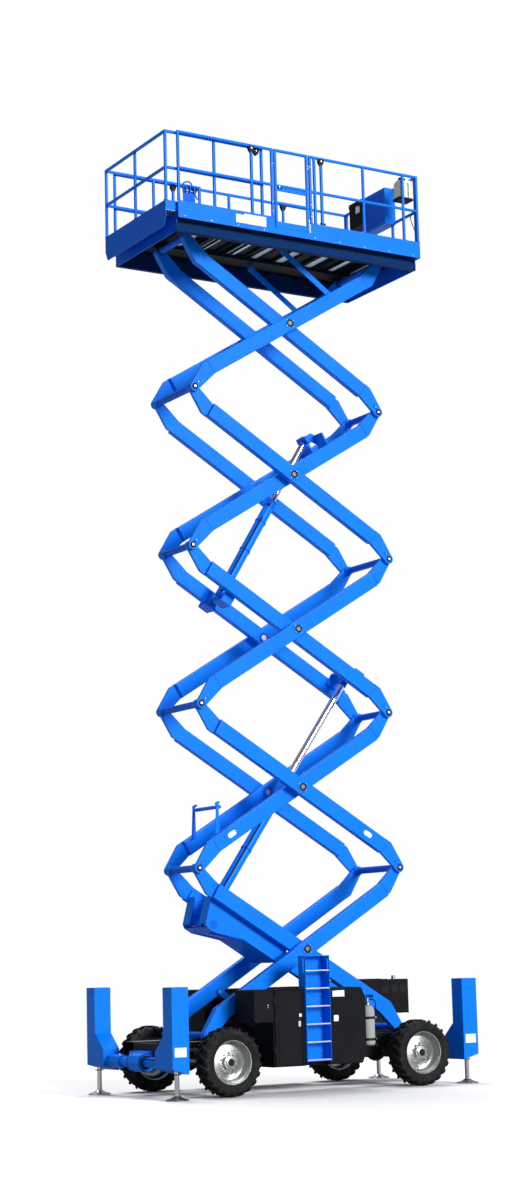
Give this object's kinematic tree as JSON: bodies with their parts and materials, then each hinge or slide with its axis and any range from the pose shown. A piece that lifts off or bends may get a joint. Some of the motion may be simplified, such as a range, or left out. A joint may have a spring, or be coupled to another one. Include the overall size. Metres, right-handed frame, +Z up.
{
  "type": "scissor lift",
  "caption": "Rough-terrain scissor lift: raised five-level scissor stack on a four-wheeled chassis with outriggers, carrying a railed work platform with a sliding extension.",
  "frame": {"origin": "on the floor, at the middle of the machine's length and width", "axes": "+X towards the rear (fixed wheels), -X towards the steered front end and the platform extension, +Z up, -Y the side with the ladder and the gate"},
  "size_m": [4.73, 2.35, 12.361],
  "materials": {
    "blue_paint": "gloss blue machine paint",
    "black_cover": "black moulded cover",
    "black_steel": "satin black paint",
    "tyre": "lugged rubber",
    "rim": "silver wheel paint",
    "chrome": "polished rod",
    "foot": "worn steel",
    "bottle": "grey bottle paint",
    "cream": "cream plastic",
    "engine": "cast block"
  },
  "bodies": {
    "chassis": {"chassis_frame": "black_steel", "front_outriggers": "blue_paint", "rear_outriggers": "blue_paint", "steer_axle": "black_steel", "rear_axle": "black_steel", "near_module": "black_cover", "far_module": "black_cover", "ladder": "blue_paint", "gas_bottle": "bottle", "engine_hood": "black_cover", "engine_block": "engine"},
    "near_module_door": {"near_module_door": "black_cover"},
    "engine_hatch": {"engine_hatch": "black_cover"},
    "near_knuckle": {"near_knuckle": "black_steel"},
    "far_knuckle": {"far_knuckle": "black_steel"},
    "tie_rod": {"tie_rod": "black_steel"},
    "near_front_wheel": {"near_front_tyre": "tyre", "near_front_rim": "rim"},
    "far_front_wheel": {"far_front_tyre": "tyre", "far_front_rim": "rim"},
    "near_rear_wheel": {"near_rear_tyre": "tyre", "near_rear_rim": "rim"},
    "far_rear_wheel": {"far_rear_tyre": "tyre", "far_rear_rim": "rim"},
    "near_front_jack_leg": {"near_front_jack_leg": "foot"},
    "far_front_jack_leg": {"far_front_jack_leg": "foot"},
    "near_rear_jack_leg": {"near_rear_jack_leg": "foot"},
    "far_rear_jack_leg": {"far_rear_jack_leg": "foot"},
    "chassis_links": {"near_chassis_link": "blue_paint", "far_chassis_link": "blue_paint"},
    "rear_rising_1": {"rear_rising_frame_1": "blue_paint"},
    "front_rising_1": {"front_rising_frame_1": "blue_paint"},
    "rear_rising_2": {"rear_rising_frame_2": "blue_paint"},
    "front_rising_2": {"front_rising_frame_2": "blue_paint"},
    "rear_rising_3": {"rear_rising_frame_3": "blue_paint"},
    "front_rising_3": {"front_rising_frame_3": "blue_paint"},
    "rear_rising_4": {"rear_rising_frame_4": "blue_paint"},
    "front_rising_4": {"front_rising_frame_4": "blue_paint"},
    "rear_rising_5": {"rear_rising_frame_5": "blue_paint"},
    "front_rising_5": {"front_rising_frame_5": "blue_paint"},
    "platform_links": {"near_platform_link": "blue_paint", "far_platform_link": "blue_paint"},
    "platform": {"platform_deck": "blue_paint", "near_front_guard_rail": "blue_paint", "near_rear_guard_rail": "blue_paint", "rear_guard_rail": "blue_paint", "far_guard_rail": "blue_paint", "control_box": "cream", "tool_box": "black_cover", "document_box": "blue_paint"},
    "lower_cylinder_barrel": {"lower_cylinder_barrel": "blue_paint"},
    "lower_cylinder_rod": {"lower_cylinder_rod": "chrome"},
    "upper_cylinder_barrel": {"upper_cylinder_barrel": "blue_paint"},
    "upper_cylinder_rod": {"upper_cylinder_rod": "chrome"},
    "gate": {"gate": "blue_paint"},
    "extension": {"extension_deck": "blue_paint", "extension_guard_rail": "blue_paint"}
  },
  "joints": [
    {"name": "steering", "type": "hinge", "parent": "chassis", "child": "near_knuckle", "pos_m": [-1.485, -0.7, 0.42], "axis": [0, 0, 1], "range_deg": [-28, 28]},
    {"name": "far_steering", "type": "hinge", "parent": "chassis", "child": "far_knuckle", "pos_m": [-1.485, 0.7, 0.42], "axis": [0, 0, 1], "range_deg": [-28, 28]},
    {"name": "tie_rod_pivot", "type": "hinge", "parent": "near_knuckle", "child": "tie_rod", "pos_m": [-1.685, -0.7, 0.42], "axis": [0, 0, 1], "range_deg": [-28, 28]},
    {"name": "near_front_wheel_spin", "type": "hinge", "parent": "near_knuckle", "child": "near_front_wheel", "pos_m": [-1.485, -1, 0.42], "axis": [0, 1, 0], "continuous": true},
    {"name": "far_front_wheel_spin", "type": "hinge", "parent": "far_knuckle", "child": "far_front_wheel", "pos_m": [-1.485, 1, 0.42], "axis": [0, 1, 0], "continuous": true},
    {"name": "near_rear_wheel_spin", "type": "hinge", "parent": "chassis", "child": "near_rear_wheel", "pos_m": [1.355, -1, 0.42], "axis": [0, 1, 0], "continuous": true},
    {"name": "far_rear_wheel_spin", "type": "hinge", "parent": "chassis", "child": "far_rear_wheel", "pos_m": [1.355, 1, 0.42], "axis": [0, 1, 0], "continuous": true},
    {"name": "near_front_jack_leg_slide", "type": "slide", "parent": "chassis", "child": "near_front_jack_leg", "axis": [0, 0, 1], "range_m": [0, 0.24]},
    {"name": "far_front_jack_leg_slide", "type": "slide", "parent": "chassis", "child": "far_front_jack_leg", "axis": [0, 0, 1], "range_m": [0, 0.24]},
    {"name": "near_rear_jack_leg_slide", "type": "slide", "parent": "chassis", "child": "near_rear_jack_leg", "axis": [0, 0, 1], "range_m": [0, 0.24]},
    {"name": "far_rear_jack_leg_slide", "type": "slide", "parent": "chassis", "child": "far_rear_jack_leg", "axis": [0, 0, 1], "range_m": [0, 0.24]},
    {"name": "near_module_door_hinge", "type": "hinge", "parent": "chassis", "child": "near_module_door", "pos_m": [-0.867, -1.105, 0.8], "axis": [0, 0, -1], "range_deg": [0, 90]},
    {"name": "engine_hatch_hinge", "type": "hinge", "parent": "chassis", "child": "engine_hatch", "pos_m": [1.615, 1.11, 1.3], "axis": [1, 0, 0], "range_deg": [0, 80]},
    {"name": "lift", "type": "hinge", "parent": "chassis", "child": "chassis_links", "pos_m": [-0.015, 0, 0.732], "axis": [0, 1, 0], "range_deg": [-31.3, 22.5]},
    {"name": "chassis_link_pin", "type": "hinge", "parent": "chassis_links", "child": "rear_rising_1", "pos_m": [-0.75706, 0, 1.2516], "axis": [0, -1, 0], "range_deg": [-62.61, 45.01]},
    {"name": "middle_pin_1", "type": "hinge", "parent": "rear_rising_1", "child": "front_rising_1", "pos_m": [-0.015, 0, 1.7712], "axis": [0, 1, 0], "range_deg": [-62.61, 45.01]},
    {"name": "rear_elbow_1", "type": "hinge", "parent": "rear_rising_1", "child": "front_rising_2", "pos_m": [1.46913, 0, 2.81039], "axis": [0, 1, 0], "range_deg": [-62.61, 45.01]},
    {"name": "middle_pin_2", "type": "hinge", "parent": "front_rising_2", "child": "rear_rising_2", "pos_m": [-0.015, 0, 3.84959], "axis": [0, -1, 0], "range_deg": [-62.61, 45.01]},
    {"name": "rear_elbow_2", "type": "hinge", "parent": "rear_rising_2", "child": "front_rising_3", "pos_m": [1.46913, 0, 4.88878], "axis": [0, 1, 0], "range_deg": [-62.61, 45.01]},
    {"name": "middle_pin_3", "type": "hinge", "parent": "front_rising_3", "child": "rear_rising_3", "pos_m": [-0.015, 0, 5.92798], "axis": [0, -1, 0], "range_deg": [-62.61, 45.01]},
    {"name": "rear_elbow_3", "type": "hinge", "parent": "rear_rising_3", "child": "front_rising_4", "pos_m": [1.46913, 0, 6.96717], "axis": [0, 1, 0], "range_deg": [-62.61, 45.01]},
    {"name": "middle_pin_4", "type": "hinge", "parent": "front_rising_4", "child": "rear_rising_4", "pos_m": [-0.015, 0, 8.00637], "axis": [0, -1, 0], "range_deg": [-62.61, 45.01]},
    {"name": "rear_elbow_4", "type": "hinge", "parent": "rear_rising_4", "child": "front_rising_5", "pos_m": [1.46913, 0, 9.04556], "axis": [0, 1, 0], "range_deg": [-62.61, 45.01]},
    {"name": "middle_pin_5", "type": "hinge", "parent": "front_rising_5", "child": "rear_rising_5", "pos_m": [-0.015, 0, 10.08476], "axis": [0, -1, 0], "range_deg": [-62.61, 45.01]},
    {"name": "platform_link_pin", "type": "hinge", "parent": "rear_rising_5", "child": "platform_links", "pos_m": [0.72706, 0, 10.60435], "axis": [0, 1, 0], "range_deg": [-62.61, 45.01]},
    {"name": "platform_pivot", "type": "hinge", "parent": "platform_links", "child": "platform", "pos_m": [-0.015, 0, 11.12395], "axis": [0, -1, 0], "range_deg": [-31.31, 22.51]},
    {"name": "lower_cylinder_base", "type": "hinge", "parent": "front_rising_1", "child": "lower_cylinder_barrel", "pos_m": [-1.25036, 0, 2.09906], "axis": [0, -1, 0], "range_deg": [-62.61, 45.01]},
    {"name": "upper_cylinder_base", "type": "hinge", "parent": "front_rising_3", "child": "upper_cylinder_barrel", "pos_m": [-0.91684, 0, 6.33116], "axis": [0, -1, 0], "range_deg": [-68.87, 49.51]},
    {"name": "lower_cylinder_stroke", "type": "slide", "parent": "lower_cylinder_barrel", "child": "lower_cylinder_rod", "axis": [0.5768, 0, 0.8169], "range_m": [-1.10906, 0.79728]},
    {"name": "upper_cylinder_stroke", "type": "slide", "parent": "upper_cylinder_barrel", "child": "upper_cylinder_rod", "axis": [0.5302, 0, 0.8479], "range_m": [-0.83046, 0.597]},
    {"name": "gate_hinge", "type": "hinge", "parent": "platform", "child": "gate", "pos_m": [0.101, -0.896, 11.76095], "axis": [0, 0, -1], "range_deg": [0, 90]},
    {"name": "extension_slide", "type": "slide", "parent": "platform", "child": "extension", "axis": [-1, 0, 0], "range_m": [0, 1.2]}
  ],
  "couplings": [
    {"joint": "far_steering", "follows": "steering", "ratio": 1},
    {"joint": "tie_rod_pivot", "follows": "steering", "ratio": -1},
    {"joint": "chassis_link_pin", "follows": "lift", "ratio": 2},
    {"joint": "middle_pin_1", "follows": "lift", "ratio": 2},
    {"joint": "rear_elbow_1", "follows": "lift", "ratio": 2},
    {"joint": "middle_pin_2", "follows": "lift", "ratio": 2},
    {"joint": "rear_elbow_2", "follows": "lift", "ratio": 2},
    {"joint": "middle_pin_3", "follows": "lift", "ratio": 2},
    {"joint": "rear_elbow_3", "follows": "lift", "ratio": 2},
    {"joint": "middle_pin_4", "follows": "lift", "ratio": 2},
    {"joint": "rear_elbow_4", "follows": "lift", "ratio": 2},
    {"joint": "middle_pin_5", "follows": "lift", "ratio": 2},
    {"joint": "platform_link_pin", "follows": "lift", "ratio": 2},
    {"joint": "platform_pivot", "follows": "lift", "ratio": 1},
    {"joint": "lower_cylinder_base", "follows": "lift", "ratio": 2},
    {"joint": "upper_cylinder_base", "follows": "lift", "ratio": 2.2},
    {"joint": "lower_cylinder_stroke", "follows": "lift", "m_per_rad": 2.03},
    {"joint": "upper_cylinder_stroke", "follows": "lift", "m_per_rad": 1.52}
  ]
}
